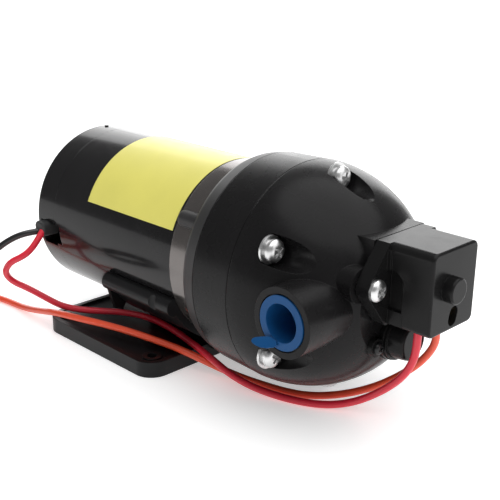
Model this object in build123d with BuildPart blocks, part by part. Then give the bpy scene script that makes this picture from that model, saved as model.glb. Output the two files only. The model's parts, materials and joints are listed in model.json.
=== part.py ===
from build123d import *
import os
from math import cos, degrees, pi, radians, sin, sqrt, tan

# Small demand diaphragm pump for the fresh-water line of a caravan or camper.
# Millimetres. Origin: centre of the base plate's underside. +Z up.
# The pump axis runs along Y at height H; the pump head points to -Y, the motor to +Y.
# "Angle" below means the angle about the pump axis from +X towards +Z.
# Radii "about the pump axis" are measured from the line x = 0, z = H.

os.makedirs("parts", exist_ok=True)

# ---------------------------------------------------------------- driving dimensions
H = 53.4  # height of the pump axis

BASE_X, BASE_Y, BASE_T, BASE_R = 105.2, 84.0, 7.5, 9.5
BASE_RIM, BASE_DISH = 2.6, 0.9
FOOT_X, FOOT_Y, FOOT_HOLE = 88.0, 67.0, 2.3

CRADLE_R, CRADLE_T = 42.1, 3.4
CRADLE_Y0, CRADLE_Y1 = -44.6, 4.0

CAN_R, CAN_RI = 42.0, 40.2
CAN_Y0, CAN_Y1 = -44.65, 45.3
COVER_Y1, COVER_EDGE = 60.0, 1.3
LABEL_Y0, LABEL_Y1, LABEL_A = -43.6, 19.2, 22.6
BELL_R, BELL_Y0 = 42.3, -60.0
MAGNET_RI, MAGNET_RO = 33.6, 40.1
BOLT_R = 35.8  # through bolts, radius about the pump axis

RING_Y0 = -67.7
LOWER_Y0 = -89.35
DIAPH_Y0, DIAPH_Y1 = -90.1, -88.9
PAD_C, PAD_R, PAD_HOLE = 20.0, 13.0, 13.6  # three driven pads of the diaphragm
PAD_ANGLES = (90.0, 210.0, 330.0)
WOBBLE = 4.0  # tilt of the cam journal, degrees
VALVE_Y0, VALVE_R = -100.5, 38.5

DOME_Y0, DOME_YC, DOME_A, DOME_B = -136.5, -88.0, 54.5, 50.0
SCREW_PC, SCREW_SEAT, SCREW_SHANK = 45.4, -102.7, 2.4
SCREW_ANGLES = (30.0, 90.0, 150.0, 210.0, 270.0, 330.0)
HEAD_Y = SCREW_SEAT - 1.0 - 1.2  # under the screw heads: a 1 mm washer and a 1.2 mm lock washer
TROUGH_R = 6.5

PORT_Y, PORT_R, PORT_X = -120.6, 14.5, 50.6
SOCKET_R, SOCKET_L = 10.2, 20.0
PLUG_R, PLUG_HOLE = 9.9, 7.9
PLUG_FLANGE_R, PLUG_SEAT_R, PLUG_SEAT_L = 11.2, 11.8, 1.1

SW_X, SW_Z0, SW_Z1 = 15.0, 48.9, 82.9
SW_Y0, SW_FLANGE_Y = -163.4, -143.0
SW_ZC = 65.7
EAR_X = 22.3
KNOB_X, KNOB_Z, KNOB_R, KNOB_L = -3.4, 67.1, 5.35, 4.6  # round boss on the front of the switch
CAP_Z = 38.0

WIRE_R = 1.65
COIL_R = 17.0

PUMP_AXIS = Axis((0, 0, H), (0, 1, 0))
SIDES = (-1, 1)


# ---------------------------------------------------------------- shape helpers
def at(radius, angle):
    """A point of the XZ plane given by radius and angle about the pump axis."""
    return (radius * cos(radians(angle)), H + radius * sin(radians(angle)))


def dome(y):
    """Outer radius of the domed head at y."""
    return DOME_B * sqrt(1 - ((DOME_YC - y) / DOME_A) ** 2)


def turned(profile, mode=Mode.ADD):
    """A body of revolution about the pump axis, profile as (y, radius) points."""
    with BuildSketch(Plane.YZ) as outline:
        with BuildLine():
            Polyline([(y, H + r) for y, r in profile], close=True)
        make_face()
    revolve(outline.sketch, axis=PUMP_AXIS, mode=mode)


def rod_y(x, z, r, y0, y1, mode=Mode.ADD):
    """A cylinder along Y from y0 to y1 (y0 < y1)."""
    with BuildSketch(Plane.XZ.offset(-y1)) as round_:
        with Locations((x, z)):
            Circle(r)
    extrude(round_.sketch, amount=y1 - y0, mode=mode)


def rod_x(y, z, r, x0, x1, mode=Mode.ADD):
    with BuildSketch(Plane.YZ.offset(x0)) as round_:
        with Locations((y, z)):
            Circle(r)
    extrude(round_.sketch, amount=x1 - x0, mode=mode)


def rod_z(x, y, r, z0, z1, mode=Mode.ADD):
    with BuildSketch(Plane.XY.offset(z0)) as round_:
        with Locations((x, y)):
            Circle(r)
    extrude(round_.sketch, amount=z1 - z0, mode=mode)


def block(x0, x1, y0, y1, z0, z1, mode=Mode.ADD):
    with BuildSketch(Plane.XY.offset(z0)) as slab:
        with Locations(((x0 + x1) / 2, (y0 + y1) / 2)):
            Rectangle(x1 - x0, y1 - y0)
    extrude(slab.sketch, amount=z1 - z0, mode=mode)


def sector(r0, r1, a0, a1):
    """Inside a sketch on an XZ plane: the ring r0 to r1 between two angles under 180 degrees apart."""
    with BuildLine() as edge:
        Line(at(r0, a0), at(r1, a0))
        CenterArc((0, H), r1, a0, a1 - a0)
        Line(at(r1, a1), at(r0, a1))
        CenterArc((0, H), r0, a0, a1 - a0)
    make_face(edge.edges())


def pan_screw(head_r, head_h, shank_r, shank_l, recess):
    """A cross-recess pan-head screw: head from z = 0 to head_h, shank below z = 0."""
    with BuildPart(mode=Mode.PRIVATE) as screw:
        with BuildSketch(Plane.XZ):
            with BuildLine():
                Line((0, 0), (head_r, 0))
                Line((head_r, 0), (head_r, head_h * 0.42))
                ThreePointArc(
                    (head_r, head_h * 0.42),
                    (head_r * 0.78, head_h * 0.83),
                    (head_r * 0.42, head_h),
                )
                Line((head_r * 0.42, head_h), (0, head_h))
                Line((0, head_h), (0, 0))
            make_face()
        revolve(axis=Axis.Z)
        with BuildSketch(Plane.XY.offset(-shank_l)):
            Circle(shank_r)
        extrude(amount=shank_l + head_h * 0.3)
        chamfer(screw.edges().sort_by(Axis.Z)[0], shank_r * 0.35)
        # straight-walled cross recess
        with BuildSketch(Plane.XY.offset(head_h + 0.5)):
            Rectangle(recess, recess * 0.24)
            Rectangle(recess * 0.24, recess)
        extrude(amount=-head_h * 0.52 - 0.5, mode=Mode.SUBTRACT)
    return screw.part


def ways_minus_y(places, turn):
    """Placings of a +Z part so that it points to -Y at (x, y, z), each turned a little."""
    return [
        Location(Plane(origin=p, x_dir=(cos(radians(a)), 0, sin(radians(a))), z_dir=(0, -1, 0)))
        for p, a in zip(places, turn)
    ]


def coil_spring(r, wire, height, turns):
    """A closed-and-straight helical spring standing on z = 0."""
    with BuildPart(mode=Mode.PRIVATE) as spring:
        with BuildLine() as path:
            helix = Helix(pitch=(height - 2 * wire) / turns, height=height - 2 * wire, radius=r, center=(0, 0, wire))
        with BuildSketch(Plane(origin=helix @ 0, z_dir=helix % 0)):
            Circle(wire)
        sweep(path=path.wire())
    return spring.part


# ---------------------------------------------------------------- base plate with motor cradle
with BuildPart() as base_plate:
    with BuildSketch(Plane.XY):
        RectangleRounded(BASE_X, BASE_Y, BASE_R)
    extrude(amount=BASE_T)
    # shallow dish inside a raised rim
    with BuildSketch(Plane.XY.offset(BASE_T - BASE_DISH)):
        RectangleRounded(BASE_X - 2 * BASE_RIM, BASE_Y - 2 * BASE_RIM, BASE_R - BASE_RIM)
    extrude(amount=BASE_DISH + 0.5, mode=Mode.SUBTRACT)
    # hollow underside between ribs
    with BuildSketch(Plane.XY):
        RectangleRounded(BASE_X - 5.6, BASE_Y - 5.6, BASE_R - 2.8)
        Rectangle(2.4, BASE_Y, mode=Mode.SUBTRACT)
        Rectangle(BASE_X, 2.4, mode=Mode.SUBTRACT)
        with Locations((-17.2, 0), (17.2, 0), (-34.5, 0), (34.5, 0)):
            Rectangle(2.4, BASE_Y, mode=Mode.SUBTRACT)
        with Locations((0, -21), (0, 21)):
            Rectangle(BASE_X, 2.4, mode=Mode.SUBTRACT)
        with GridLocations(FOOT_X, FOOT_Y, 2, 2):
            Circle(6.0, mode=Mode.SUBTRACT)
        with Locations((0, -32), (0, -9)):
            Circle(6.5, mode=Mode.SUBTRACT)
    extrude(amount=4.2, mode=Mode.SUBTRACT)
    # round bosses at the corners
    with BuildSketch(Plane.XY.offset(BASE_T - BASE_DISH - 0.5)):
        with GridLocations(FOOT_X, FOOT_Y, 2, 2):
            Circle(4.6)
    extrude(amount=BASE_DISH + 0.5)
    # pedestal and saddle under the motor
    block(-15, 15, CRADLE_Y0, CRADLE_Y1, 5.0, 14.0)
    with BuildSketch(Plane.XZ.offset(-CRADLE_Y1)):
        sector(CRADLE_R, CRADLE_R + CRADLE_T, -157.5, -22.5)
    extrude(amount=CRADLE_Y1 - CRADLE_Y0)
    # rolled lips along both upper edges of the saddle
    for s in SIDES:
        rod_y(s * 39.3, 33.4, 4.4, CRADLE_Y0, CRADLE_Y1)
    rod_y(0, H, CRADLE_R, -50, 10, mode=Mode.SUBTRACT)
    # short stiffening ribs under the saddle's rear edge
    for s in SIDES:
        with BuildSketch(Plane.XZ.offset(-CRADLE_Y1)):
            with BuildLine():
                Polyline((s * 30.0, 22.0), (s * 33.0, 16.6), (s * 37.4, 18.4), (s * 42.2, 34.0), (s * 38, 34), close=True)
            make_face()
        extrude(amount=2.0)
    rod_y(0, H, CRADLE_R, -50, 10, mode=Mode.SUBTRACT)
    # mounting holes and the two cradle screws' holes
    with GridLocations(FOOT_X, FOOT_Y, 2, 2):
        Hole(FOOT_HOLE)
    for y in (-32, -9):
        rod_z(0, y, 1.95, -1, 13, mode=Mode.SUBTRACT)
        rod_z(0, y, 3.9, -1, 3.0, mode=Mode.SUBTRACT)
base_plate.part.label = "base_plate"
export_step(base_plate.part, "parts/base_plate.step")

cradle_screw = pan_screw(3.5, 2.2, 1.9, 12.6, 3.4)
with BuildPart() as cradle_screws:
    with Locations(*[Location(Plane(origin=(0, y, 3.0), x_dir=(1, 0, 0), z_dir=(0, 0, -1))) for y in (-32, -9)]):
        add(cradle_screw)
cradle_screws.part.label = "cradle_screws"
export_step(cradle_screws.part, "parts/cradle_screws.step")

# ---------------------------------------------------------------- motor shell
with BuildPart() as motor_can:
    turned([(CAN_Y0, CAN_RI), (CAN_Y0, CAN_R), (CAN_Y1, CAN_R), (CAN_Y1, CAN_RI)])
    for y in (-32, -9):
        rod_z(0, y, 1.95, 8, 16, mode=Mode.SUBTRACT)
    # notch in the rear edge beside the lead grommet
    block(-44, -38, 41.0, 46.0, 42.0, 52.4, mode=Mode.SUBTRACT)
motor_can.part.label = "motor_can"
export_step(motor_can.part, "parts/motor_can.step")

with BuildPart() as motor_rear_cover:
    with BuildSketch(Plane.YZ):
        with BuildLine():
            Polyline(
                (COVER_Y1 - COVER_EDGE, H + CAN_R),
                (CAN_Y1 + 0.05, H + CAN_R),
                (CAN_Y1 + 0.05, H + 40.1),
                (42.0, H + 40.1),
                (42.0, H + 38.0),
                (57.3, H + 38.0),
                (57.3, H + 14.0),
                (48.0, H + 14.0),
                (48.0, H + 11.05),
                (55.4, H + 11.05),
                (55.4, H),
                (COVER_Y1, H),
                (COVER_Y1, H + CAN_R - COVER_EDGE),
            )
            ThreePointArc(
                (COVER_Y1, H + CAN_R - COVER_EDGE),
                (COVER_Y1 - COVER_EDGE * (1 - sin(radians(45))), H + CAN_R - COVER_EDGE * (1 - sin(radians(45)))),
                (COVER_Y1 - COVER_EDGE, H + CAN_R),
            )
        make_face()
    revolve(axis=PUMP_AXIS)
    rod_z(0.6, 55.6, 1.0, H + 39.5, H + 42.6)  # small locating nib on top
    for a in (90, 270):
        x, z = at(BOLT_R, a)
        rod_y(x, z, 2.05, 50, COVER_Y1 + 1, mode=Mode.SUBTRACT)
    # window for the lead grommet, wider than the grommet towards the can
    block(-44, -35, 41.9, 56.8, 40.5, 53.3, mode=Mode.SUBTRACT)
motor_rear_cover.part.label = "motor_rear_cover"
export_step(motor_rear_cover.part, "parts/motor_rear_cover.step")

with BuildPart() as motor_label:
    with BuildSketch(Plane.XZ.offset(-LABEL_Y1)):
        sector(CAN_R + 0.02, CAN_R + 0.17, LABEL_A, 180 - LABEL_A)
    extrude(amount=LABEL_Y1 - LABEL_Y0)
motor_label.part.label = "motor_label"
export_step(motor_label.part, "parts/motor_label.step")

with BuildPart() as front_bell:
    turned(
        [
            (BELL_Y0, 7.0),
            (BELL_Y0, BELL_R),
            (-45.0, BELL_R),
            (-45.0, 40.1),
            (-41.5, 40.1),
            (-41.5, 38.0),
            (-56.5, 38.0),
            (-56.5, 14.0),
            (-49.0, 14.0),
            (-49.0, 11.05),
            (-56.5, 11.05),
            (-56.5, 7.0),
        ]
    )
    for a in (90, 270):
        x, z = at(BOLT_R, a)
        rod_y(x, z, 2.05, -61, -56, mode=Mode.SUBTRACT)
front_bell.part.label = "front_bell"
export_step(front_bell.part, "parts/front_bell.step")

bolt = pan_screw(3.5, 2.2, 2.0, 117.0, 3.6)
with BuildPart() as through_bolts:
    with Locations(
        *[Location(Plane(origin=(at(BOLT_R, a)[0], COVER_Y1, at(BOLT_R, a)[1]), x_dir=(1, 0, 0), z_dir=(0, 1, 0))) for a in (90, 270)]
    ):
        add(bolt)
through_bolts.part.label = "through_bolts"
export_step(through_bolts.part, "parts/through_bolts.step")

with BuildPart() as field_magnets:
    for a in (0, 180):
        with BuildSketch(Plane.XZ.offset(-24.0)):
            sector(MAGNET_RI, MAGNET_RO, a - 62, a + 62)
        extrude(amount=52.0)
field_magnets.part.label = "field_magnets"
export_step(field_magnets.part, "parts/field_magnets.step")

with BuildPart() as lead_grommet:
    block(-46.3, -37.2, 48.6, 56.6, 45.4, 53.1)
    fillet(lead_grommet.edges().filter_by(Axis.X), 2.6)
    fillet(lead_grommet.faces().sort_by(Axis.X)[0].edges(), 1.2)
lead_grommet.part.label = "lead_grommet"
export_step(lead_grommet.part, "parts/lead_grommet.step")

for name, y0 in (("rear_bearing", 48.1), ("front_bearing", -56.4)):
    with BuildPart() as bearing:
        turned([(y0, 4.02), (y0, 11.0), (y0 + 7, 11.0), (y0 + 7, 4.02)])
        for y in (y0, y0 + 6.6):  # shallow groove between the two races on both faces
            with BuildSketch(Plane.XZ.offset(-(y + 0.4))):
                with Locations((0, H)):
                    Circle(9.0)
                    Circle(6.2, mode=Mode.SUBTRACT)
            extrude(amount=0.4, mode=Mode.SUBTRACT)
    bearing.part.label = name
    export_step(bearing.part, "parts/" + name + ".step")

# ---------------------------------------------------------------- brush gear
with BuildPart() as brush_plate:
    turned([(39.4, 13.8), (39.4, 40.0), (41.9, 40.0), (41.9, 13.8)])
    for a in (90, 270):
        x, z = at(BOLT_R, a)
        rod_y(x, z, 2.4, 39, 43, mode=Mode.SUBTRACT)
brush_plate.part.label = "brush_plate"
export_step(brush_plate.part, "parts/brush_plate.step")

with BuildPart() as brush_holders:
    for s in SIDES:
        x0, x1 = sorted((s * 14.0, s * 29.0))
        block(x0, x1, 42.0, 47.6, H - 4.2, H + 4.2)
        c0, c1 = sorted((s * 13.0, s * 27.8))
        block(c0, c1, 42.9, 46.7, H - 3.0, H + 3.0, mode=Mode.SUBTRACT)
brush_holders.part.label = "brush_holders"
export_step(brush_holders.part, "parts/brush_holders.step")

with BuildPart() as brushes:
    for s in SIDES:
        x0, x1 = sorted((s * 12.3, s * 21.0))
        block(x0, x1, 43.0, 46.6, H - 2.9, H + 2.9)
brushes.part.label = "brushes"
export_step(brushes.part, "parts/brushes.step")

brush_spring = coil_spring(1.35, 0.22, 6.6, 5)
with BuildPart() as brush_springs:
    with Locations(
        *[Location(Plane(origin=(s * 21.1, 44.8, H), x_dir=(0, 1, 0), z_dir=(s, 0, 0))) for s in SIDES]
    ):
        add(brush_spring)
brush_springs.part.label = "brush_springs"
export_step(brush_springs.part, "parts/brush_springs.step")

# ---------------------------------------------------------------- rotor
with BuildPart() as rotor_shaft:
    rod_y(0, H, 4.0, -62.0, 55.2)
    chamfer(rotor_shaft.edges().sort_by(Axis.Y)[-1], 0.6)
rotor_shaft.part.label = "rotor_shaft"
export_step(rotor_shaft.part, "parts/rotor_shaft.step")

with BuildPart() as armature_core:
    turned([(-25.0, 4.02), (-25.0, 32.6), (20.0, 32.6), (20.0, 4.02)])
    # winding slots between the teeth
    with BuildSketch(Plane.XZ.offset(-21.0)):
        with Locations((0, H)):
            with PolarLocations(24.5, 10):
                SlotOverall(13.0, 5.0)
            with PolarLocations(31.8, 10):
                Rectangle(4.0, 2.0)
    extrude(amount=47.0, mode=Mode.SUBTRACT)
armature_core.part.label = "armature_core"
export_step(armature_core.part, "parts/armature_core.step")

with BuildPart() as armature_windings:
    turned([(-35.0, 9.0), (-35.0, 25.0), (-32.0, 29.5), (-25.05, 31.0), (-25.05, 7.0)])
    turned([(20.05, 7.0), (20.05, 31.0), (26.5, 29.5), (30.0, 25.0), (31.0, 11.0), (31.0, 7.0)])
    with BuildSketch(Plane.XZ.offset(-20.05)):
        with Locations((0, H)):
            with PolarLocations(24.5, 10):
                SlotOverall(12.4, 4.4)
    extrude(amount=45.1)
armature_windings.part.label = "armature_windings"
export_step(armature_windings.part, "parts/armature_windings.step")

with BuildPart() as commutator:
    turned([(34.5, 4.02), (34.5, 14.5), (36.0, 14.5), (36.0, 12.0), (47.4, 12.0), (47.4, 4.02)])
    with BuildSketch(Plane.XZ.offset(-47.4)):
        with Locations((0, H)):
            with PolarLocations(12.4, 10, start_angle=9):
                Rectangle(2.4, 0.6)
    extrude(amount=11.4, mode=Mode.SUBTRACT)
commutator.part.label = "commutator"
export_step(commutator.part, "parts/commutator.step")

# The cam: a hub on the shaft whose journal leans WOBBLE degrees and passes through
# the point O on the pump axis, about which the driven plate rocks.
O = (0.0, -89.5, H)
LEAN = Plane(origin=O, x_dir=(1, 0, 0), z_dir=(0, cos(radians(WOBBLE)), sin(radians(WOBBLE))))


def lean_rod(u, v, r, s0, s1, mode=Mode.ADD):
    """A cylinder along the leaning axis; u along +X, v towards -Z, s from O towards the motor."""
    with BuildSketch(LEAN.offset(s0)) as round_:
        with Locations((u, v)):
            Circle(r)
    extrude(round_.sketch, amount=s1 - s0, mode=mode)


with BuildPart() as cam:
    rod_y(0, H, 12.5, -66.2, -62.6)
    lean_rod(0, 0, 6.0, 8.6, 26.0)
    with BuildSketch(Plane.XZ.offset(62.6)):  # half-disc balance weight
        with BuildLine():
            CenterArc((0, H), 17.5, 200, 140)
            Line(at(17.5, 340), at(17.5, 200))
        make_face()
    extrude(amount=3.6)
    rod_y(0, H, 4.02, -62.6, -60.0, mode=Mode.SUBTRACT)
cam.part.label = "cam"
export_step(cam.part, "parts/cam.step")

# ---------------------------------------------------------------- rocking plate, pads and pistons
pads = [(PAD_C * cos(radians(a)), -PAD_C * sin(radians(a))) for a in PAD_ANGLES]

with BuildPart() as wobble_bearing:
    lean_rod(0, 0, 11.0, 12.0, 19.0)
    lean_rod(0, 0, 6.05, 11.0, 20.0, mode=Mode.SUBTRACT)
wobble_bearing.part.label = "wobble_bearing"
export_step(wobble_bearing.part, "parts/wobble_bearing.step")

with BuildPart() as wobble_plate:
    lean_rod(0, 0, 14.5, 9.0, 19.0)
    with BuildSketch(LEAN.offset(7.0)):
        for u, v in pads:
            with BuildLine():
                Polyline((0, 0), (u, v))
            with Locations((u, v)):
                Circle(9.0)
        for a in PAD_ANGLES:
            with Locations(Location((0, 0, 0), (0, 0, -a))):
                with Locations((10, 0)):
                    Rectangle(20, 14)
        Circle(12)
    extrude(amount=3.6)
    for u, v in pads:
        lean_rod(u, v, 6.5, 3.3, 7.2)
    lean_rod(0, 0, 11.02, 12.0, 20.0, mode=Mode.SUBTRACT)
    lean_rod(0, 0, 9.0, 6.0, 12.1, mode=Mode.SUBTRACT)
    for u, v in pads:
        lean_rod(u, v, 1.75, 2.0, 11.0, mode=Mode.SUBTRACT)
wobble_plate.part.label = "wobble_plate"
export_step(wobble_plate.part, "parts/wobble_plate.step")

with BuildPart() as diaphragm_pads:
    for u, v in pads:
        lean_rod(u, v, PAD_R, -0.6, 1.4)
        lean_rod(u, v, 8.5, 1.4, 3.3)
    for u, v in pads:
        lean_rod(u, v, 1.75, -1.0, 4.0, mode=Mode.SUBTRACT)
diaphragm_pads.part.label = "diaphragm_pads"
export_step(diaphragm_pads.part, "parts/diaphragm_pads.step")

with BuildPart() as piston_caps:
    for u, v in pads:
        lean_rod(u, v, 10.0, -2.4, -0.6)
    fillet(piston_caps.edges().filter_by(GeomType.CIRCLE).group_by(SortBy.RADIUS)[-1].group_by(Axis.Y)[0], 0.5)
    for u, v in pads:
        lean_rod(u, v, 1.75, -3.0, 0.0, mode=Mode.SUBTRACT)
piston_caps.part.label = "piston_caps"
export_step(piston_caps.part, "parts/piston_caps.step")

with BuildPart() as piston_screws:
    for u, v in pads:
        lean_rod(u, v, 3.2, -3.4, -2.4)
        lean_rod(u, v, 1.7, -2.5, 9.5)
piston_screws.part.label = "piston_screws"
export_step(piston_screws.part, "parts/piston_screws.step")

# ---------------------------------------------------------------- pump head housings
with BuildPart() as cam_housing:
    turned(
        [
            (BELL_Y0 - 0.02, 14.5),
            (BELL_Y0 - 0.02, 47.3),
            (-61.4, 47.9),
            (RING_Y0, 49.15),
            (RING_Y0, 43.6),
            (-62.4, 43.6),
            (-62.4, 14.5),
        ]
    )
    # two rounded tabs that reach back over the bell and locate it
    for a in (148, 328):
        x, z = at(42.2, a)
        rod_y(x, z, 3.9, -60.5, -47.0)
    fillet(cam_housing.faces().filter_by(Axis.Y).group_by(Axis.Y)[-1].edges(), 1.6)
    rod_y(0, H, BELL_R + 0.05, -60.0, -44, mode=Mode.SUBTRACT)
cam_housing.part.label = "cam_housing"
export_step(cam_housing.part, "parts/cam_housing.step")

with BuildPart() as lower_housing:
    turned(
        [
            (RING_Y0, 43.6),
            (RING_Y0, 48.3),
            (-68.1, 48.3),
            (-68.1, 49.2),
            (LOWER_Y0 + 0.6, 49.9),
            (LOWER_Y0, 49.2),
            (LOWER_Y0, 42.5),
            (DIAPH_Y1, 42.5),
            (DIAPH_Y1, 0),
            (-86.2, 0),
            (-86.2, 43.6),
        ]
    )
    for a in SCREW_ANGLES:
        x, z = at(SCREW_PC, a)
        with BuildSketch(Plane.XZ.offset(70.0)):
            with Locations((x, z)):
                Circle(4.6)
            with Locations((0, H)):
                Circle(48.3, mode=Mode.INTERSECT)
        extrude(amount=17.0)
        rod_y(x, z, SCREW_SHANK + 0.05, -90, -72.0, mode=Mode.SUBTRACT)
    for a in PAD_ANGLES:
        x, z = at(PAD_C, a)
        rod_y(x, z, 14.3, -90, -86, mode=Mode.SUBTRACT)
lower_housing.part.label = "lower_housing"
export_step(lower_housing.part, "parts/lower_housing.step")

with BuildPart() as diaphragm_web:
    turned([(DIAPH_Y0, 0), (DIAPH_Y0, 42.4), (DIAPH_Y1, 42.4), (DIAPH_Y1, 0)])
    for a in PAD_ANGLES:
        x, z = at(PAD_C, a)
        rod_y(x, z, PAD_HOLE, -91, -88, mode=Mode.SUBTRACT)
diaphragm_web.part.label = "diaphragm_web"
export_step(diaphragm_web.part, "parts/diaphragm_web.step")

with BuildPart() as valve_plate:
    turned(
        [
            (DIAPH_Y0, 0),
            (DIAPH_Y0, VALVE_R),
            (-94.4, VALVE_R),
            (-94.4, 36.6),
            (-97.0, 36.6),
            (-97.0, VALVE_R),
            (VALVE_Y0, VALVE_R),
            (VALVE_Y0, 0),
        ]
    )
    for a in PAD_ANGLES:
        x, z = at(PAD_C, a)
        rod_y(x, z, 14.6, -96.5, -90.0, mode=Mode.SUBTRACT)
        # outlet passages near the centre, inlet passages round the inlet valve's stem
        x, z = at(9.5, a)
        rod_y(x, z, 1.7, -101, -96, mode=Mode.SUBTRACT)
        x, z = at(27.5, a)
        rod_y(x, z, 1.55, -101, -96, mode=Mode.SUBTRACT)
        with BuildSketch(Plane.XZ.offset(96.0)):
            with Locations((x, z)):
                with PolarLocations(3.7, 6):
                    Circle(1.1)
        extrude(amount=5.0, mode=Mode.SUBTRACT)
    rod_y(0, H, 1.55, -101, -90, mode=Mode.SUBTRACT)
valve_plate.part.label = "valve_plate"
export_step(valve_plate.part, "parts/valve_plate.step")

with BuildPart() as head_seal:
    with BuildSketch(Plane.YZ):
        with Locations((-95.7, H + 37.6)):
            Circle(0.95)
    revolve(axis=PUMP_AXIS)
head_seal.part.label = "head_seal"
export_step(head_seal.part, "parts/head_seal.step")

with BuildPart() as inlet_valves:
    for a in PAD_ANGLES:
        x, z = at(27.5, a)
        rod_y(x, z, 5.4, -96.48, -95.7)
        rod_y(x, z, 1.5, -101.8, -95.7)
        rod_y(x, z, 2.0, -101.8, -100.55)
inlet_valves.part.label = "inlet_valves"
export_step(inlet_valves.part, "parts/inlet_valves.step")

with BuildPart() as outlet_valve:
    turned([(VALVE_Y0 - 0.05, 0), (VALVE_Y0 - 0.05, 13.0), (-101.2, 13.0), (-102.6, 4.0), (-102.6, 0)])
    rod_y(0, H, 1.5, -101.0, -93.0)
outlet_valve.part.label = "outlet_valve"
export_step(outlet_valve.part, "parts/outlet_valve.step")

with BuildPart() as upper_housing:
    ys = [-89.45, -94, -99, -104, -109, -114, -119, -124, -128, -131.5, -134.3, DOME_Y0]
    with BuildSketch(Plane.YZ):
        with BuildLine():
            Line((ys[0], H), (ys[0], H + dome(ys[0])))
            Spline([(y, H + dome(y)) for y in ys])
            Line((DOME_Y0, H + dome(DOME_Y0)), (DOME_Y0, H))
            Line((DOME_Y0, H), (ys[0], H))
        make_face()
    revolve(axis=PUMP_AXIS)
    # cross tube that carries both ports
    rod_x(PORT_Y, H, PORT_R, -PORT_X, PORT_X)
    # pad behind the pressure switch with its two ears, and the relief-valve boss
    block(-16.4, 16.4, DOME_Y0, -112, 48, SW_Z1)
    for s in SIDES:
        rod_y(s * EAR_X, SW_ZC, 7.4, DOME_Y0, -112)
    rod_y(0, CAP_Z, 10.4, DOME_Y0, -120)
    for s in SIDES:
        rod_y(s * 13, CAP_Z - 1, 4.2, DOME_Y0, -120)
    # inside: seat of the valve plate, then the ring-shaped inlet chamber
    turned([(-89, 0), (-89, 42.5), (DIAPH_Y0, 42.5), (DIAPH_Y0, VALVE_R + 0.1), (VALVE_Y0, VALVE_R + 0.1), (VALVE_Y0, 0)], mode=Mode.SUBTRACT)
    turned([(-100, 0), (-100, 36.0), (-113, 36.0), (-121, 29.0), (-130.5, 20.0), (-130.5, 0)], mode=Mode.SUBTRACT)
    # round wall of the outlet chamber and its duct to the outlet port
    turned([(VALVE_Y0, 17.0), (VALVE_Y0, 19.0), (-131, 19.0), (-131, 17.0)])
    rod_x(PORT_Y, H, 8.2, 17.8, 33.0)
    rod_x(PORT_Y, H, 6.0, 12.0, 40.0, mode=Mode.SUBTRACT)
    rod_x(PORT_Y, H, 7.0, -40.0, -22.0, mode=Mode.SUBTRACT)
    # port sockets
    for s in SIDES:
        x0, x1 = sorted((s * (PORT_X - SOCKET_L), s * (PORT_X + 1)))
        rod_x(PORT_Y, H, SOCKET_R, x0, x1, mode=Mode.SUBTRACT)
        x0, x1 = sorted((s * (PORT_X - PLUG_SEAT_L), s * (PORT_X + 1)))
        rod_x(PORT_Y, H, PLUG_SEAT_R, x0, x1, mode=Mode.SUBTRACT)
    # head screws: seat and open trough running forward, and the shank's hole
    for a in SCREW_ANGLES:
        x, z = at(SCREW_PC, a)
        rod_y(x, z, TROUGH_R, -128, SCREW_SEAT, mode=Mode.SUBTRACT)
        rod_y(x, z, SCREW_SHANK + 0.05, -104, -89, mode=Mode.SUBTRACT)
    # seat of the switch diaphragm, its pressure passage and the screws' holes
    rod_y(0, SW_ZC, 11.2, DOME_Y0 - 1, -135.3, mode=Mode.SUBTRACT)
    rod_y(0, SW_ZC, 8.0, DOME_Y0, -134.0, mode=Mode.SUBTRACT)
    rod_y(0, SW_ZC, 1.3, -135.0, -127, mode=Mode.SUBTRACT)
    for s in SIDES:
        rod_y(s * EAR_X, SW_ZC, 2.05, DOME_Y0 - 1, -124.5, mode=Mode.SUBTRACT)
        rod_y(s * 13, CAP_Z - 1, 1.25, DOME_Y0 - 1, -129.0, mode=Mode.SUBTRACT)
    # relief valve's bore, with its seat in the wall of the chamber
    rod_y(0, CAP_Z, 6.3, DOME_Y0 - 1, -133.6, mode=Mode.SUBTRACT)
    rod_y(0, CAP_Z + 3, 2.2, -134, -128, mode=Mode.SUBTRACT)
upper_housing.part.label = "upper_housing"
export_step(upper_housing.part, "parts/upper_housing.step")

TURNS = (12, 71, 38, 55, 20, 83)
head_screw = pan_screw(4.9, 3.1, SCREW_SHANK, 28.0, 5.2)
with BuildPart() as head_screws:
    with Locations(*ways_minus_y([(at(SCREW_PC, a)[0], HEAD_Y, at(SCREW_PC, a)[1]) for a in SCREW_ANGLES], TURNS)):
        add(head_screw)
head_screws.part.label = "head_screws"
export_step(head_screws.part, "parts/head_screws.step")

with BuildPart() as head_lock_washers:
    for a in SCREW_ANGLES:
        x, z = at(SCREW_PC, a)
        rod_y(x, z, 4.2, HEAD_Y, SCREW_SEAT - 1.0)
        rod_y(x, z, 2.6, HEAD_Y - 0.1, SCREW_SEAT - 0.9, mode=Mode.SUBTRACT)
        block(x, x + 5.0, HEAD_Y - 0.1, SCREW_SEAT - 0.9, z - 0.4, z + 0.4, mode=Mode.SUBTRACT)  # slit
head_lock_washers.part.label = "head_lock_washers"
export_step(head_lock_washers.part, "parts/head_lock_washers.step")

with BuildPart() as head_washers:
    for a in SCREW_ANGLES:
        x, z = at(SCREW_PC, a)
        rod_y(x, z, 6.05, SCREW_SEAT - 1.0, SCREW_SEAT)
        rod_y(x, z, 2.5, SCREW_SEAT - 1.1, SCREW_SEAT + 0.1, mode=Mode.SUBTRACT)
head_washers.part.label = "head_washers"
export_step(head_washers.part, "parts/head_washers.step")

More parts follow.
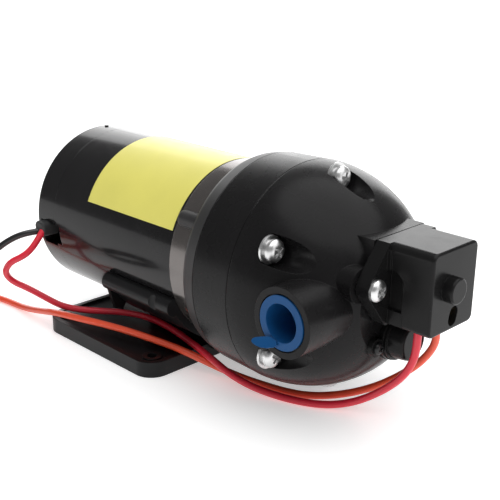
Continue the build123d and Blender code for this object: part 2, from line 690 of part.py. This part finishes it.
# ---------------------------------------------------------------- port plugs
for side, name in ((-1, "port_plug_left"), (1, "port_plug_right")):
    with BuildPart() as port_plug:
        f0, f1 = sorted((side * (PORT_X - PLUG_SEAT_L + 0.05), side * (PORT_X + 0.3)))
        b0, b1 = sorted((side * (PORT_X - 16.0), side * PORT_X))
        rod_x(PORT_Y, H, PLUG_FLANGE_R, f0, f1)
        rod_x(PORT_Y, H, PLUG_R, b0, b1)
        # pull tab at the lower rear of the flange, bent outwards and leaning so that its face looks up
        u = Vector(side * 0.4067, 0.9135, 0)
        w = Vector(side * 0.4289, -0.1910, -0.8829)
        with BuildSketch(Plane(origin=(side * 52.9, -115.98, 45.01), x_dir=u, z_dir=u.cross(w))):
            with BuildLine():
                Polyline(
                    (6.88, 0.73),
                    (6.41, -0.25),
                    (5.33, -0.90),
                    (2.76, -1.55),
                    (-0.71, -2.14),
                    (-3.19, -0.91),
                    (-3.68, 0.88),
                    (-2.40, 1.90),
                    (0.32, 2.67),
                    (2.77, 2.76),
                    (4.68, 2.29),
                    (6.23, 1.53),
                    close=True,
                )
            make_face()
        extrude(amount=side * 1.2)
        h0, h1 = sorted((side * (PORT_X - 14.0), side * (PORT_X + 2)))
        rod_x(PORT_Y, H, PLUG_HOLE, h0, h1, mode=Mode.SUBTRACT)
        # two retaining beads round the body
        for dx in (4.0, 10.0):
            g0, g1 = sorted((side * (PORT_X - dx), side * (PORT_X - dx - 1.2)))
            rod_x(PORT_Y, H, 10.05, g0, g1)
            rod_x(PORT_Y, H, PLUG_HOLE, g0, g1, mode=Mode.SUBTRACT)
    port_plug.part.label = name
    export_step(port_plug.part, "parts/" + name + ".step")

# ---------------------------------------------------------------- pressure switch
with BuildPart() as switch_housing:
    with BuildSketch(Plane.XZ.offset(-DOME_Y0)) as flange:
        with BuildLine():
            Polyline(
                (-SW_X, SW_Z1), (SW_X, SW_Z1), (28.5, 65.9), (SW_X, SW_Z0), (-SW_X, SW_Z0), (-28.5, 65.9), close=True
            )
        make_face()
        fillet(flange.vertices().group_by(Axis.X)[0], 5.5)
        fillet(flange.vertices().group_by(Axis.X)[-1], 5.5)
    extrude(amount=DOME_Y0 - SW_FLANGE_Y)
    # joint line where the flange meets the pad of the head
    chamfer(switch_housing.faces().sort_by(Axis.Y)[-1].edges(), 0.4)
    with BuildSketch(Plane.XZ.offset(-SW_FLANGE_Y)):
        with Locations((0, (SW_Z0 + SW_Z1) / 2)):
            RectangleRounded(2 * SW_X, SW_Z1 - SW_Z0, 3.1)
    extrude(amount=SW_FLANGE_Y - SW_Y0)
    fillet(switch_housing.faces().sort_by(Axis.Y)[0].edges(), 1.1)
    # relief in both flanks round the ear screws, and a set-back panel below it
    for s in SIDES:
        x0, x1 = sorted((s * 12.6, s * 16.0))
        with BuildSketch(Plane.YZ.offset(x0)):
            with BuildLine():
                Polyline((-143.0, 55.6), (-143.0, 72.6), (-147.4, 72.0), (-150.2, 69.2), (-150.2, 55.6), close=True)
            make_face()
        extrude(amount=x1 - x0, mode=Mode.SUBTRACT)
        x0, x1 = sorted((s * 14.0, s * 16.0))
        block(x0, x1, -150.8, -143.0, 48.0, 55.6, mode=Mode.SUBTRACT)
        x0, x1 = sorted((s * 13.0, s * 16.0))
        block(x0, x1, -144.6, -143.0, 72.6, 80.5)
    # inside: plunger bore, then the switch chamber
    rod_y(0, SW_ZC, 9.0, -143.2, -136.0, mode=Mode.SUBTRACT)
    block(-11.0, 11.0, -158.4, -143.0, 50.9, 80.9, mode=Mode.SUBTRACT)
    # round boss on the front with a rounded edge, and the oblong adjuster hole below it
    knob_y = SW_Y0 - KNOB_L
    rod_y(KNOB_X, KNOB_Z, KNOB_R, knob_y, SW_Y0 + 0.5)
    fillet(
        switch_housing.edges().filter_by(GeomType.CIRCLE).filter_by(
            lambda e: abs(e.center().Y - knob_y) < 0.01 and abs(e.radius - KNOB_R) < 0.01
        ),
        0.9,
    )
    with BuildSketch(Plane.XZ.offset(-SW_Y0 + 1)):
        with Locations((0.6, 54.75)):
            SlotOverall(8.2, 5.6, rotation=76)
    extrude(amount=-8.0, mode=Mode.SUBTRACT)
    # ear screw holes
    for s in SIDES:
        rod_y(s * EAR_X, SW_ZC, 2.1, -144, -136, mode=Mode.SUBTRACT)
switch_housing.part.label = "switch_housing"
export_step(switch_housing.part, "parts/switch_housing.step")

with BuildPart() as switch_diaphragm:
    rod_y(0, SW_ZC, 11.1, -136.45, -135.35)
switch_diaphragm.part.label = "switch_diaphragm"
export_step(switch_diaphragm.part, "parts/switch_diaphragm.step")

with BuildPart() as switch_plunger:
    rod_y(0, SW_ZC, 8.5, -138.1, -136.6)
    rod_y(0, SW_ZC, 2.4, -145.4, -138.0)
switch_plunger.part.label = "switch_plunger"
export_step(switch_plunger.part, "parts/switch_plunger.step")

plunger_spring = coil_spring(4.6, 0.5, 7.0, 3.5)
with BuildPart() as switch_spring:
    with Locations(Location(Plane(origin=(0, -138.15, SW_ZC), x_dir=(1, 0, 0), z_dir=(0, -1, 0)))):
        add(plunger_spring)
switch_spring.part.label = "switch_spring"
export_step(switch_spring.part, "parts/switch_spring.step")

with BuildPart() as microswitch:
    block(-10.0, 10.0, -156.6, -147.6, 58.2, 77.0)
    # fixed spring plate in front of the case, with a hole for the plunger
    block(-10.5, 10.5, -147.6, -146.9, 57.0, 78.0)
    rod_y(0, SW_ZC, 1.4, -147.0, -146.7)
    # bracket that carries the adjuster's thread
    block(-4.0, 4.8, -155.8, -153.0, 51.0, 58.3)
    rod_y(0.4, 54.7, 1.75, -156, -152, mode=Mode.SUBTRACT)
microswitch.part.label = "microswitch"
export_step(microswitch.part, "parts/microswitch.step")

with BuildPart() as switch_terminals:
    for x, y in ((-5.2, -151.6), (6.8, -151.6)):
        block(x - 1.6, x + 1.6, y - 0.4, y + 0.4, 51.0, 58.15)
switch_terminals.part.label = "switch_terminals"
export_step(switch_terminals.part, "parts/switch_terminals.step")

with BuildPart() as switch_adjuster:
    rod_y(0.4, 54.7, 2.3, -160.2, -156.4)
    rod_y(0.4, 54.7, 1.65, -156.5, -152.4)
    with BuildSketch(Plane.XZ.offset(160.2)):
        with Locations((0.4, 54.7)):
            RegularPolygon(1.35, 6)
    extrude(amount=-2.0, mode=Mode.SUBTRACT)
switch_adjuster.part.label = "switch_adjuster"
export_step(switch_adjuster.part, "parts/switch_adjuster.step")

switch_screw = pan_screw(4.5, 3.0, 2.0, 17.5, 5.0)
with BuildPart() as switch_screws:
    with Locations(*ways_minus_y([(s * EAR_X, SW_FLANGE_Y, SW_ZC) for s in SIDES], (33, 60))):
        add(switch_screw)
switch_screws.part.label = "switch_screws"
export_step(switch_screws.part, "parts/switch_screws.step")

# ---------------------------------------------------------------- relief valve below the switch
with BuildPart() as relief_cap:
    with BuildSketch(Plane.XZ.offset(-DOME_Y0)):
        with Locations((-13, CAP_Z - 1), (13, CAP_Z - 1)):
            Circle(4.0)
        with Locations((0, CAP_Z - 1)):
            Rectangle(26, 6)
        with Locations((0, CAP_Z)):
            Circle(10.0)
    extrude(amount=2.2)
    with BuildSketch(Plane.XZ.offset(-DOME_Y0)):
        with Locations((0, CAP_Z)):
            Circle(9.6)
    extrude(amount=3.6)
    with BuildSketch(Plane.XZ.offset(-DOME_Y0 + 3.0)):
        with Locations((0, CAP_Z)):
            Circle(8.8)
    extrude(amount=7.6, taper=7)
    fillet(relief_cap.faces().sort_by(Axis.Y)[0].edges(), 1.4)
    rod_y(0, CAP_Z, 5.6, -144.8, -136.0, mode=Mode.SUBTRACT)
    for s in SIDES:
        rod_y(s * 13, CAP_Z - 1, 1.3, -140, -136, mode=Mode.SUBTRACT)
relief_cap.part.label = "relief_cap"
export_step(relief_cap.part, "parts/relief_cap.step")

cap_screw = pan_screw(2.6, 1.9, 1.2, 8.0, 2.9)
with BuildPart() as relief_cap_screws:
    with Locations(*ways_minus_y([(s * 13, DOME_Y0 - 2.2, CAP_Z - 1) for s in SIDES], (15, 50))):
        add(cap_screw)
relief_cap_screws.part.label = "relief_cap_screws"
export_step(relief_cap_screws.part, "parts/relief_cap_screws.step")

with BuildPart() as relief_poppet:
    rod_y(0, CAP_Z, 5.2, -135.2, -133.65)
    rod_y(0, CAP_Z, 2.2, -140.0, -135.0)
relief_poppet.part.label = "relief_poppet"
export_step(relief_poppet.part, "parts/relief_poppet.step")

poppet_spring = coil_spring(3.7, 0.45, 9.4, 4)
with BuildPart() as relief_spring:
    with Locations(Location(Plane(origin=(0, -135.25, CAP_Z), x_dir=(1, 0, 0), z_dir=(0, -1, 0)))):
        add(poppet_spring)
relief_spring.part.label = "relief_spring"
export_step(relief_spring.part, "parts/relief_spring.step")

# ---------------------------------------------------------------- leads
# Control points of each lead, from where it leaves the pump to its far end or its coil.
RED = [
    (-45.4, 50.6, 48.6), (-48.8, 50.2, 44.9), (-53.3, 50.1, 40.4), (-57.4, 51.7, 37.3), (-62.1, 56.4, 34.2),
    (-62.5, 61.8, 27.6), (-58.0, 63.2, 21.0), (-51.1, 58.6, 16.4), (-46.9, 49.8, 12.7), (-43.8, 40.0, 10.0),
    (-39.4, 30.4, 9.6), (-32.7, 21.6, 9.6), (-24.8, 11.6, 9.8), (-20.1, -2.9, 10.1), (-20.4, -20.0, 9.5),
    (-23.8, -35.9, 9.8), (-27.9, -49.4, 10.5), (-30.1, -60.3, 9.9), (-30.0, -70.6, 6.7), (-27.0, -81.6, 3.4),
    (-23.0, -92.6, 1.7), (-19.3, -104.2, 1.7), (-14.1, -114.3, 2.1), (-7.9, -122.8, 4.2), (-5.1, -132.0, 10.3),
    (-4.7, -140.7, 18.0), (-4.9, -147.1, 25.5), (-5.0, -150.9, 33.0), (-5.1, -152.1, 40.8), (-5.2, -152.0, 48.85),
]
ORANGE = [
    (6.4, -152.0, 48.85), (8.2, -151.9, 42.8), (10.6, -150.4, 35.6), (11.7, -146.4, 28.5), (10.8, -141.3, 21.8),
    (7.6, -134.9, 15.6), (3.2, -127.5, 10.0), (-2.0, -119.4, 5.8), (-7.4, -111.1, 3.1), (-12.7, -102.6, 1.7),
    (-16.9, -93.5, 1.7), (-19.6, -84.3, 2.0), (-22.0, -74.8, 2.4), (-24.6, -65.0, 3.5), (-28.1, -54.5, 5.9),
    (-33.0, -43.0, 9.7), (-37.8, -29.8, 11.8), (-42.2, -15.1, 13.1), (-46.4, 0.2, 13.3), (-50.4, 15.5, 12.8),
    (-52.3, 31.9, 11.3), (-50.7, 49.8, 6.2), (-48.8, 68.6, 1.7), (-50.2, 86.6, 1.7), (-53.2, 98.0, 1.7),
]
BLACK = [
    (-45.5, 54.2, 47.6), (-49.6, 56.6, 47.2), (-54.2, 60.2, 45.6), (-58.4, 63.6, 42.8), (-62.4, 66.4, 39.4),
    (-67.0, 69.4, 34.4), (-71.6, 72.6, 28.0), (-76.0, 75.6, 20.6), (-80.2, 78.2, 13.0), (-85.4, 80.4, 6.2),
    (-91.6, 81.8, 2.4), (-97.6, 82.0, 1.7),
]


def lead_radii(points):
    """The largest arc that each corner leaves room for: 0.45 of its shorter run over the tangent of half the turn."""
    radii = []
    for a, b, c in zip(points, points[1:], points[2:]):
        u, v = Vector(b) - Vector(a), Vector(c) - Vector(b)
        turn = radians(u.get_angle(v))
        radii.append(0.45 * min(u.length, v.length) / tan(turn / 2))
    return radii


def lead_report(name, points, radii, volume, length):
    runs = [(Vector(b) - Vector(a)).length for a, b in zip(points, points[1:])]
    print(name, "length", round(length, 1), "smallest radius", round(min(radii), 1),
          "longest run", round(max(runs), 1), "volume ratio", round(volume / (pi * WIRE_R**2 * length), 4))
    print("  runs", [round(r, 1) for r in runs])
    print("  radii", [round(r, 1) for r in radii])


for name, points in (("red_wire", RED), ("orange_wire", ORANGE), ("black_wire", BLACK)):
    radii = lead_radii(points)
    with BuildPart() as lead:
        with BuildLine() as route:
            bends = FilletPolyline(*points, radius=radii)
        with BuildSketch(Plane(origin=bends @ 0, z_dir=bends % 0)):
            Circle(WIRE_R)
        sweep(path=route.wire())
    lead_report(name, points, radii, lead.part.volume, route.wire().length)
    lead.part.label = name
    export_step(lead.part, "parts/" + name + ".step")

# the two loose leads end in small coils lying on the floor, with bare tinned tips
for name, cx, cy in (("orange_coil", -71.0, 104.0), ("black_coil", -98.0, 65.0)):
    with BuildPart() as coil:
        with BuildSketch(Plane.XY):
            with Locations((cx, cy)):
                Circle(COIL_R + 1.8)
                Circle(COIL_R - 1.8, mode=Mode.SUBTRACT)
        extrude(amount=9.9)
        fillet(coil.edges(), 1.1)
    coil.part.label = name
    export_step(coil.part, "parts/" + name + ".step")

for name, cx, cy, a in (("orange_tip", -71.0, 104.0, 180.0), ("black_tip", -98.0, 65.0, 270.0)):
    # the tip leaves the coil along its tangent, lying on top of the turns
    d = Vector(-sin(radians(a)), cos(radians(a)), 0)
    p = Vector(cx + COIL_R * cos(radians(a)), cy + COIL_R * sin(radians(a)), 11.0)
    with BuildPart() as tip:
        with BuildSketch(Plane(origin=p, z_dir=d)):
            Circle(0.9)
        extrude(amount=8.0)
    tip.part.label = name
    export_step(tip.part, "parts/" + name + ".step")
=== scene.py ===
import bpy
import json
import math
from mathutils import Matrix, Vector


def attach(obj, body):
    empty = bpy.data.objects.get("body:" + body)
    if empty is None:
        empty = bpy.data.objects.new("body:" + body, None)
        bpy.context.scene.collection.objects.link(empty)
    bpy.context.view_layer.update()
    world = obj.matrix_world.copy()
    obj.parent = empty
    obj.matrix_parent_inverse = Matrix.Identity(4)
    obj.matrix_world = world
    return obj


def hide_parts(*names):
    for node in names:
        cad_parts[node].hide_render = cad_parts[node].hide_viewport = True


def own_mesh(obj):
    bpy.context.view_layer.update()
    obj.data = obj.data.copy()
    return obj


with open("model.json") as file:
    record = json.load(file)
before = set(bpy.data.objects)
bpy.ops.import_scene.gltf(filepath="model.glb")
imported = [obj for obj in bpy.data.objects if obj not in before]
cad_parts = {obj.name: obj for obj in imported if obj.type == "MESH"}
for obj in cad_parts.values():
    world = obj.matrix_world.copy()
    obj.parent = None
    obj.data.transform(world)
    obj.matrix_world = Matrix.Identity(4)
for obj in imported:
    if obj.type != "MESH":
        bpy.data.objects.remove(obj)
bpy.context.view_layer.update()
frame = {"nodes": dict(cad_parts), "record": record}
nodes = frame["nodes"]
MM = 0.001


# ------------------------------------------------------------------ camera
def make_camera():
    a, e, r = math.radians(-45.19), math.radians(19.16), math.radians(0.715)
    back = Vector((math.sin(a) * math.cos(e), -math.cos(a) * math.cos(e), math.sin(e)))
    right = Vector((math.cos(a), math.sin(a), 0.0))
    up = back.cross(right)
    right2 = right * math.cos(r) + up * math.sin(r)
    up2 = up * math.cos(r) - right * math.sin(r)
    data = bpy.data.cameras.new("camera")
    data.lens, data.sensor_width = 67.117, 36.0
    data.clip_start, data.clip_end = 0.01, 20.0
    cam = bpy.data.objects.new("camera", data)
    bpy.context.scene.collection.objects.link(cam)
    m = Matrix((right2, up2, back)).transposed().to_4x4()
    m.translation = Vector((-0.29083, -0.34193, 0.19625))
    cam.matrix_world = m
    bpy.context.scene.camera = cam


make_camera()

# ------------------------------------------------------------------ materials
def lin(r, g, b):
    """A colour given as 0-255 display values, as linear values."""
    def one(v):
        v /= 255.0
        return v / 12.92 if v <= 0.04045 else ((v + 0.055) / 1.055) ** 2.4
    return (one(r), one(g), one(b))


def scaled(c, k):
    return (min(c[0] * k, 1.0), min(c[1] * k, 1.0), min(c[2] * k, 1.0), 1.0)


def surface(name, color, rough, metallic=0.0, specular=0.5, coat=0.0, coat_rough=0.08, patch=40.0, vary=0.14,
            rough_vary=0.08, grain=1800.0, bump=0.25, depth=0.00003, edge=0.0004, wear=0.0, wear_color=None,
            stretch=(1.0, 1.0, 1.0), glow=0.0):
    """A finish with patchy colour, uneven gloss, fine grain, slightly rounded edges and light wear along them."""
    mat = bpy.data.materials.new(name)
    mat.use_nodes = True
    nt = mat.node_tree
    nt.nodes.clear()
    new, link = nt.nodes.new, nt.links.new
    out = new("ShaderNodeOutputMaterial")
    bsdf = new("ShaderNodeBsdfPrincipled")
    bsdf.inputs["Metallic"].default_value = metallic
    bsdf.inputs["Specular IOR Level"].default_value = specular
    bsdf.inputs["Coat Weight"].default_value = coat
    bsdf.inputs["Coat Roughness"].default_value = coat_rough
    bsdf.inputs["Emission Color"].default_value = (1.0, 1.0, 1.0, 1.0)
    bsdf.inputs["Emission Strength"].default_value = glow
    link(bsdf.outputs["BSDF"], out.inputs["Surface"])
    coords = new("ShaderNodeTexCoord")
    place = new("ShaderNodeMapping")
    place.inputs["Scale"].default_value = stretch
    link(coords.outputs["Object"], place.inputs["Vector"])

    def noise(scale, detail):
        n = new("ShaderNodeTexNoise")
        n.inputs["Scale"].default_value = scale
        n.inputs["Detail"].default_value = detail
        link(place.outputs["Vector"], n.inputs["Vector"])
        return n.outputs["Fac"]

    ramp = new("ShaderNodeValToRGB")
    ramp.color_ramp.elements[0].position, ramp.color_ramp.elements[1].position = 0.32, 0.68
    ramp.color_ramp.elements[0].color = scaled(color, 1 - vary)
    ramp.color_ramp.elements[1].color = scaled(color, 1 + vary)
    link(noise(patch, 5.0), ramp.inputs["Fac"])
    shade = ramp.outputs["Color"]

    rounded = new("ShaderNodeBevel")
    rounded.samples = 4
    rounded.inputs["Radius"].default_value = edge
    if wear > 0:
        # where the rounded normal leaves the flat one there is an edge, and it is rubbed lighter
        geo, dot, gate = new("ShaderNodeNewGeometry"), new("ShaderNodeVectorMath"), new("ShaderNodeMapRange")
        dot.operation = "DOT_PRODUCT"
        link(rounded.outputs["Normal"], dot.inputs[0])
        link(geo.outputs["Normal"], dot.inputs[1])
        gate.inputs["From Min"].default_value, gate.inputs["From Max"].default_value = 0.995, 0.90
        gate.inputs["To Min"].default_value, gate.inputs["To Max"].default_value = 0.0, wear
        link(dot.outputs["Value"], gate.inputs["Value"])
        patchy = new("ShaderNodeMath")
        patchy.operation = "MULTIPLY"
        link(gate.outputs["Result"], patchy.inputs[0])
        link(noise(patch * 9, 3.0), patchy.inputs[1])
        rub = new("ShaderNodeMix")
        rub.data_type = "RGBA"
        link(patchy.outputs["Value"], rub.inputs["Factor"])
        link(shade, rub.inputs["A"])
        rub.inputs["B"].default_value = scaled(wear_color or color, 1.0 if wear_color else 3.0)
        shade = rub.outputs["Result"]
    link(shade, bsdf.inputs["Base Color"])

    gloss = new("ShaderNodeMapRange")
    gloss.inputs["To Min"].default_value = max(rough - rough_vary, 0.03)
    gloss.inputs["To Max"].default_value = min(rough + rough_vary, 1.0)
    link(noise(patch * 3.1, 4.0), gloss.inputs["Value"])
    link(gloss.outputs["Result"], bsdf.inputs["Roughness"])

    relief = new("ShaderNodeBump")
    relief.inputs["Strength"].default_value = bump
    relief.inputs["Distance"].default_value = depth
    link(noise(grain, 3.0), relief.inputs["Height"])
    link(rounded.outputs["Normal"], relief.inputs["Normal"])
    link(relief.outputs["Normal"], bsdf.inputs["Normal"])
    return mat


BLACK = (0.022, 0.022, 0.023)
FINISH = {
    "base_plastic": surface("base_plastic", (0.0075, 0.0075, 0.0082), 0.36, specular=0.22, wear=0.12, bump=0.4),
    "can_black": surface("can_black", (0.010, 0.0096, 0.0102), 0.16, specular=0.16, coat=0.12, coat_rough=0.05, patch=60, bump=0.1,
                         grain=900, wear=0.08),
    "yellow_label": surface("yellow_label", lin(234, 226, 114), 0.4, vary=0.035, coat=0.15, grain=700, bump=0.1, edge=0.0001),
    "bell_silver": surface("bell_silver", (0.150, 0.136, 0.130), 0.2, metallic=0.85, vary=0.06, grain=1200, bump=0.12, coat=0.3),
    "ferrite": surface("ferrite", (0.06, 0.06, 0.065), 0.6, bump=0.7),
    "grommet_rubber": surface("grommet_rubber", BLACK, 0.6, bump=0.5),
    "bearing_steel": surface("bearing_steel", (0.56, 0.56, 0.58), 0.2, metallic=1.0, stretch=(1, 8, 1)),
    "phenolic": surface("phenolic", (0.22, 0.10, 0.045), 0.5, vary=0.22),
    "brass": surface("brass", (0.62, 0.44, 0.16), 0.28, metallic=1.0),
    "carbon": surface("carbon", (0.03, 0.03, 0.032), 0.55, bump=0.8),
    "spring_steel": surface("spring_steel", (0.48, 0.48, 0.5), 0.25, metallic=1.0),
    "ring_plastic": surface("ring_plastic", (0.026, 0.0255, 0.026), 0.42, specular=0.25, wear=0.12, bump=0.4),
    "head_plastic": surface("head_plastic", (0.0090, 0.0086, 0.0090), 0.27, specular=0.14, wear=0.12, bump=0.3),
    "diaphragm_rubber": surface("diaphragm_rubber", BLACK, 0.55, bump=0.4),
    "white_plastic": surface("white_plastic", (0.70, 0.70, 0.66), 0.4, vary=0.05),
    "valve_rubber": surface("valve_rubber", (0.26, 0.06, 0.05), 0.55),
    "zinc_screw": surface("zinc_screw", (0.70, 0.70, 0.70), 0.32, metallic=1.0, vary=0.08, patch=300, wear=0.2,
                          wear_color=(0.5, 0.5, 0.5), edge=0.0002),
    "switch_plastic": surface("switch_plastic", (0.0100, 0.0098, 0.0100), 0.24, specular=0.14, wear=0.12, bump=0.25),
    "black_screw": surface("black_screw", (0.012, 0.012, 0.013), 0.3, metallic=0.3, wear=0.3, edge=0.0002),
    "wire_red": surface("wire_red", lin(224, 38, 60), 0.34, vary=0.06, coat=0.1, grain=900, edge=0.0001),
    "wire_orange": surface("wire_orange", lin(234, 82, 50), 0.34, vary=0.06, coat=0.1, grain=900, edge=0.0001),
    "wire_black": surface("wire_black", (0.008, 0.008, 0.009), 0.3, coat=0.2, grain=900, edge=0.0001),
    "tinned_copper": surface("tinned_copper", (0.66, 0.62, 0.56), 0.3, metallic=1.0, grain=2500, stretch=(1, 1, 6)),
    "shaft_steel": surface("shaft_steel", (0.54, 0.54, 0.56), 0.22, metallic=1.0, stretch=(1, 10, 1)),
    "laminations": surface("laminations", (0.25, 0.25, 0.27), 0.38, metallic=0.9, stretch=(1, 30, 1)),
    "copper_winding": surface("copper_winding", (0.50, 0.18, 0.07), 0.3, metallic=0.9, stretch=(1, 12, 1)),
    "copper": surface("copper", (0.72, 0.34, 0.2), 0.24, metallic=1.0),
    "plug_blue": surface("plug_blue", lin(22, 76, 128), 0.36, specular=0.16, vary=0.06, bump=0.2, wear=0.1),
}
for part in frame["record"]["subparts"]:
    mesh = nodes[part["node"]].data
    mesh.materials.clear()
    mesh.materials.append(FINISH[part["material_slot"]])


# ------------------------------------------------------------------ leads
# The same control points as the solid leads have, in millimetres.
RED = [
    (-45.4, 50.6, 48.6), (-48.8, 50.2, 44.9), (-53.3, 50.1, 40.4), (-57.4, 51.7, 37.3), (-62.1, 56.4, 34.2),
    (-62.5, 61.8, 27.6), (-58.0, 63.2, 21.0), (-51.1, 58.6, 16.4), (-46.9, 49.8, 12.7), (-43.8, 40.0, 10.0),
    (-39.4, 30.4, 9.6), (-32.7, 21.6, 9.6), (-24.8, 11.6, 9.8), (-20.1, -2.9, 10.1), (-20.4, -20.0, 9.5),
    (-23.8, -35.9, 9.8), (-27.9, -49.4, 10.5), (-30.1, -60.3, 9.9), (-30.0, -70.6, 6.7), (-27.0, -81.6, 3.4),
    (-23.0, -92.6, 1.7), (-19.3, -104.2, 1.7), (-14.1, -114.3, 2.1), (-7.9, -122.8, 4.2), (-5.1, -132.0, 10.3),
    (-4.7, -140.7, 18.0), (-4.9, -147.1, 25.5), (-5.0, -150.9, 33.0), (-5.1, -152.1, 40.8), (-5.2, -152.0, 48.85),
]
ORANGE = [
    (6.4, -152.0, 48.85), (8.2, -151.9, 42.8), (10.6, -150.4, 35.6), (11.7, -146.4, 28.5), (10.8, -141.3, 21.8),
    (7.6, -134.9, 15.6), (3.2, -127.5, 10.0), (-2.0, -119.4, 5.8), (-7.4, -111.1, 3.1), (-12.7, -102.6, 1.7),
    (-16.9, -93.5, 1.7), (-19.6, -84.3, 2.0), (-22.0, -74.8, 2.4), (-24.6, -65.0, 3.5), (-28.1, -54.5, 5.9),
    (-33.0, -43.0, 9.7), (-37.8, -29.8, 11.8), (-42.2, -15.1, 13.1), (-46.4, 0.2, 13.3), (-50.4, 15.5, 12.8),
    (-52.3, 31.9, 11.3), (-50.7, 49.8, 6.2), (-48.8, 68.6, 1.7), (-50.2, 86.6, 1.7), (-53.2, 98.0, 1.7),
]
BLACK_LEAD = [
    (-45.5, 54.2, 47.6), (-49.6, 56.6, 47.2), (-54.2, 60.2, 45.6), (-58.4, 63.6, 42.8), (-62.4, 66.4, 39.4),
    (-67.0, 69.4, 34.4), (-71.6, 72.6, 28.0), (-76.0, 75.6, 20.6), (-80.2, 78.2, 13.0), (-85.4, 80.4, 6.2),
    (-91.6, 81.8, 2.4), (-97.6, 82.0, 1.7),
]


def turns_of(cx, cy, first, count, skip):
    """Control points of a wound coil: each turn lies on the one below, and the last one ends under the bare tip."""
    per, radius = 14, 17.3
    points = []
    total = int(per * count)
    for i in range(skip, total + 1):
        t = i / per
        a = math.radians(first) + 2 * math.pi * t
        r = 17.0 if i == total else radius + 0.25 * math.sin(2.3 * t + first)
        z = 1.7 + 3.35 * t
        if i >= total - 2:
            z = 11.0 if i == total else 10.6
        points.append((cx + r * math.cos(a), cy + r * math.sin(a), z))
    return points


def lead(name, points, finish):
    curve = bpy.data.curves.new(name, "CURVE")
    curve.dimensions = "3D"
    spline = curve.splines.new("NURBS")
    spline.points.add(len(points) - 1)
    for p, q in zip(spline.points, points):
        p.co = (q[0] * MM, q[1] * MM, q[2] * MM, 1.0)
    spline.order_u = 3
    spline.use_endpoint_u = True
    spline.resolution_u = 10
    curve.bevel_depth = 1.65 * MM
    curve.bevel_resolution = 6
    curve.use_fill_caps = True
    curve.materials.append(FINISH[finish])
    obj = bpy.data.objects.new(name, curve)
    bpy.context.scene.collection.objects.link(obj)
    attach(obj, "pump")
    return obj


red = lead("red_lead", RED, "wire_red")
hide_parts("red_wire")

orange = lead("orange_lead", ORANGE + turns_of(-71.0, 104.0, 0.0, 2.5, 1), "wire_orange")
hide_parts("orange_wire", "orange_coil")

black = lead("black_lead", BLACK_LEAD + turns_of(-98.0, 65.0, 90.0, 2.5, 1), "wire_black")
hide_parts("black_wire", "black_coil")


# ------------------------------------------------------------------ springs
def spring(name, node):
    """A spring in the shape of its node, as a copy of that mesh with data of its own; the solid node is hidden."""
    obj = bpy.data.objects.new(name, nodes[node].data.copy())
    bpy.context.scene.collection.objects.link(obj)
    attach(obj, "pump")
    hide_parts(node)
    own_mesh(obj)


spring("switch_return_spring", "switch_spring")
spring("relief_return_spring", "relief_spring")


# ------------------------------------------------------------------ floor and light
def make_floor():
    data = bpy.data.meshes.new("floor")
    s = 14.0
    data.from_pydata([(-s, -s, 0), (s, -s, 0), (s, s, 0), (-s, s, 0)], [], [(0, 1, 2, 3)])
    floor = bpy.data.objects.new("floor", data)
    bpy.context.scene.collection.objects.link(floor)
    data.materials.append(surface("floor", (0.86, 0.86, 0.86), 0.6, vary=0.01, specular=0.2, patch=3, grain=300, bump=0.05, glow=0.42))


def soft_light(name, place, target, size, power):
    data = bpy.data.lights.new(name, "AREA")
    data.shape = "RECTANGLE"
    data.size, data.size_y = size
    data.energy = power
    obj = bpy.data.objects.new(name, data)
    bpy.context.scene.collection.objects.link(obj)
    obj.location = place
    obj.rotation_mode = "QUATERNION"
    obj.rotation_quaternion = (Vector(target) - Vector(place)).to_track_quat("-Z", "Y")


def sky_light(power, spread):
    """An even light from above, so that the whole floor comes out the same."""
    data = bpy.data.lights.new("overhead", "SUN")
    data.energy = power
    data.angle = math.radians(spread)
    obj = bpy.data.objects.new("overhead", data)
    bpy.context.scene.collection.objects.link(obj)
    obj.rotation_mode = "QUATERNION"
    obj.rotation_quaternion = Vector((-0.12, 0.2, -1.0)).to_track_quat("-Z", "Y")


make_floor()
sky_light(2.4, 80)
soft_light("back", (1.7, 1.8, 0.85), (0, 0, 0.1), (3.4, 1.6), 44)
soft_light("front", (0.35, -1.2, 0.6), (0, -0.1, 0.06), (0.9, 0.7), 2.2)
world = bpy.data.worlds.new("studio")
bpy.context.scene.world = world
world.use_nodes = True
world.node_tree.nodes["Background"].inputs["Color"].default_value = (1, 1, 1, 1)
world.node_tree.nodes["Background"].inputs["Strength"].default_value = 0.26
bpy.context.scene.view_settings.view_transform = "Standard"
